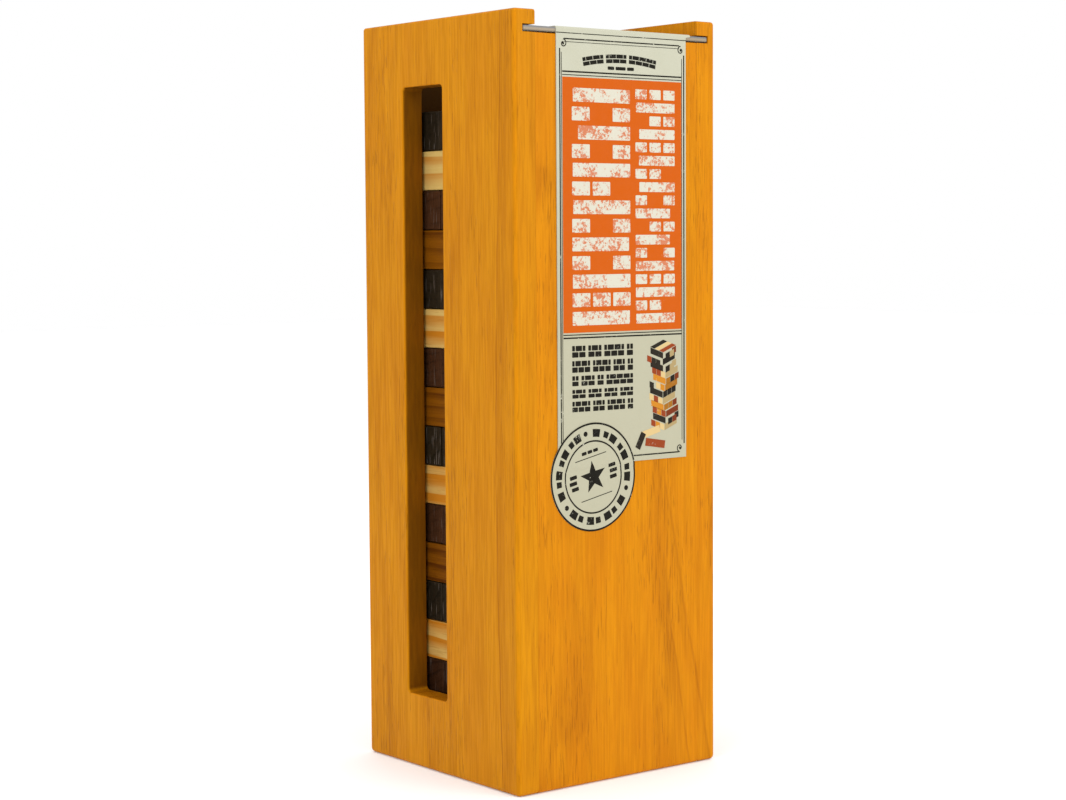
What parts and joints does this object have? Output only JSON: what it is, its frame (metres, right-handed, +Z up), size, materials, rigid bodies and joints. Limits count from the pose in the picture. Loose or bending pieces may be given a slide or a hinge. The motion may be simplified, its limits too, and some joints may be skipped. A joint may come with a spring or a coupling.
{
  "type": "boxed tumbling tower game",
  "caption": "Tall square wooden storage box with side windows and a clear sliding lid, holding a stack of loose wooden blocks in four wood colours, with a folded card label.",
  "frame": {"origin": "middle of the box's underside, on the surface it stands on", "axes": "+Z up along the tall side; the front panel faces -Y; +X is to the right when seen from the front"},
  "size_m": [0.0962, 0.0975, 0.283],
  "materials": {
    "box_wood": "satin honey stain",
    "floor_wood": "satin honey stain",
    "clear_lid": "polished clear acrylic",
    "card": "uncoated printed card",
    "seal_paper": "uncoated printed paper",
    "natural_block": "sanded pale pine",
    "honey_block": "honey stain",
    "dark_brown_block": "dark brown stain",
    "black_block": "black stain"
  },
  "bodies": {
    "box": {"left_side_panel": "box_wood", "right_side_panel": "box_wood", "front_panel": "box_wood", "back_panel": "box_wood", "floor_panel": "floor_wood"},
    "lid": {"sliding_lid": "clear_lid", "card_strip": "card"},
    "card": {"card_flap": "card", "round_seal": "seal_paper"},
    "stack": {"block_01_a": "honey_block", "block_01_b": "honey_block", "block_01_c": "honey_block", "block_02_a": "dark_brown_block", "block_02_b": "dark_brown_block", "block_02_c": "dark_brown_block", "block_03_a": "natural_block", "block_03_b": "natural_block", "block_03_c": "natural_block", "block_04_a": "black_block", "block_04_b": "black_block", "block_04_c": "black_block", "block_05_a": "honey_block", "block_05_b": "honey_block", "block_05_c": "honey_block", "block_06_a": "dark_brown_block", "block_06_b": "dark_brown_block", "block_06_c": "dark_brown_block", "block_07_a": "natural_block", "block_07_b": "natural_block", "block_07_c": "natural_block", "block_08_a": "black_block", "block_08_b": "black_block", "block_08_c": "black_block", "block_09_a": "honey_block", "block_09_b": "honey_block", "block_09_c": "honey_block", "block_10_a": "dark_brown_block", "block_10_b": "dark_brown_block", "block_10_c": "dark_brown_block", "block_11_a": "natural_block", "block_11_b": "natural_block", "block_11_c": "natural_block", "block_12_a": "black_block", "block_12_b": "black_block", "block_12_c": "black_block", "block_13_a": "honey_block", "block_13_b": "honey_block", "block_13_c": "honey_block", "block_14_a": "dark_brown_block", "block_14_b": "dark_brown_block", "block_14_c": "dark_brown_block", "block_15_a": "natural_block", "block_15_b": "natural_block", "block_15_c": "natural_block"},
    "top_block_front": {"block_16_a": "black_block"},
    "top_block_middle": {"block_16_b": "black_block"},
    "top_block_back": {"block_16_c": "black_block"}
  },
  "joints": [
    {"name": "lid_slide", "type": "slide", "parent": "box", "child": "lid", "axis": [0, -1, 0], "range_m": [0, 0.085]},
    {"name": "card_fold", "type": "hinge", "parent": "lid", "child": "card", "pos_m": [0.0017, -0.0486, 0.2777], "axis": [-1, 0, 0], "range_deg": [0, 150]},
    {"name": "stack_lift", "type": "slide", "parent": "box", "child": "stack", "axis": [0, 0, 1], "range_m": [0, 0.012]},
    {"name": "top_block_front_lift", "type": "slide", "parent": "stack", "child": "top_block_front", "axis": [0, 0, 1], "range_m": [0, 0.012]},
    {"name": "top_block_middle_lift", "type": "slide", "parent": "stack", "child": "top_block_middle", "axis": [0, 0, 1], "range_m": [0, 0.012]},
    {"name": "top_block_back_lift", "type": "slide", "parent": "stack", "child": "top_block_back", "axis": [0, 0, 1], "range_m": [0, 0.012]}
  ]
}
